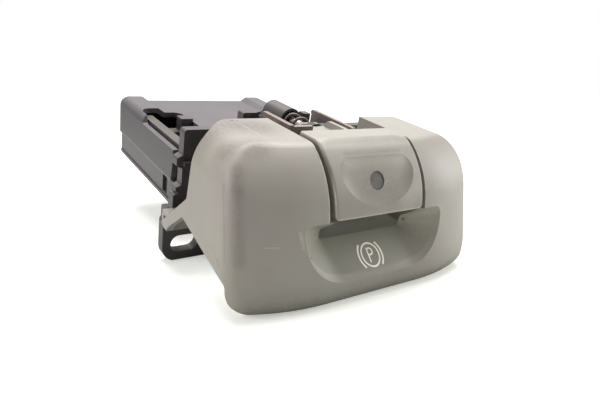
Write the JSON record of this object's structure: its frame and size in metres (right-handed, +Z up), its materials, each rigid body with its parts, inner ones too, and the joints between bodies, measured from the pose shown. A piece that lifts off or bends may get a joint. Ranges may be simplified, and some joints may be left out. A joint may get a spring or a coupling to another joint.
{
  "type": "electric parking brake switch",
  "caption": "Electric parking brake pull switch: grey bezel with a finger scoop and sprung pull handle, in front of a dark switch housing on a slotted bracket.",
  "frame": {"origin": "centre of the line between the two lug slots, on the front face of the carrier plate", "axes": "+X to the right seen from the driver's side, +Y from the bezel back to the connector, +Z up"},
  "size_m": [0.102, 0.1569, 0.0569],
  "materials": {
    "bezel_grey": "fine-grained warm grey moulding",
    "handle_grey": "fine-grained warm grey moulding, satin in the thumb dish",
    "lens_smoke": "smoked clear window",
    "housing_black": "dark glass-filled nylon with a soft sheen",
    "carrier_black": "dark glass-filled nylon",
    "cradle_brown": "dusty brown-grey nylon",
    "slider_black": "dark slippery acetal",
    "backing_grey": "plain dark grey",
    "button_grey": "ribbed soft-touch grey",
    "board_green": "lacquered glass-fibre board",
    "lamp_clear": "clear lamp body",
    "switch_black": "moulded switch case",
    "plunger_white": "natural acetal",
    "steel": "drawn spring steel",
    "screw_steel": "zinc-plated steel",
    "bumper_rubber": "soft black rubber",
    "chip_black": "moulded chip package",
    "can_aluminium": "drawn can",
    "terminal_tin": "tinned brass blades"
  },
  "bodies": {
    "frame": {"bezel": "bezel_grey", "carrier": "carrier_black", "spring_cradle": "cradle_brown", "housing_cover": "housing_black", "housing_tray": "housing_black", "circuit_board": "board_green", "board_screws": "screw_steel", "processor_chip": "chip_black", "filter_capacitor": "can_aluminium", "switch_apply": "switch_black", "switch_rest": "switch_black", "connector_header": "housing_black", "terminal_pins": "terminal_tin", "stop_bumper": "bumper_rubber", "return_spring": "steel"},
    "handle": {"pull_handle": "handle_grey", "status_lens": "lens_smoke", "lamp_board": "board_green", "status_lamp": "lamp_clear", "release_switch": "switch_black", "handle_backing": "backing_grey", "pull_rod": "steel", "rod_clip": "steel", "switch_slider": "slider_black"},
    "release": {"release_button": "button_grey"},
    "apply_plunger": {"plunger_apply": "plunger_white"},
    "rest_plunger": {"plunger_rest": "plunger_white"}
  },
  "joints": [
    {"name": "handle_pull", "type": "slide", "parent": "frame", "child": "handle", "axis": [0, -1, 0], "range_m": [0, 0.008], "stiffness_N_per_m": 500, "springref_m": -0.006, "deforming": ["return_spring"]},
    {"name": "release_press", "type": "slide", "parent": "handle", "child": "release", "axis": [0, -0.8829, 0.4695], "range_m": [0, 0.0008], "stiffness_N_per_m": 2500, "springref_m": -0.0002},
    {"name": "apply_switch_press", "type": "slide", "parent": "frame", "child": "apply_plunger", "axis": [0, 0, -1], "range_m": [0, 0.0008]},
    {"name": "rest_switch_rise", "type": "slide", "parent": "frame", "child": "rest_plunger", "axis": [0, 0, 1], "range_m": [0, 0.0008]}
  ],
  "couplings": [
    {"joint": "apply_switch_press", "follows": "handle_pull", "ratio": 0.1},
    {"joint": "rest_switch_rise", "follows": "handle_pull", "ratio": 0.1}
  ]
}
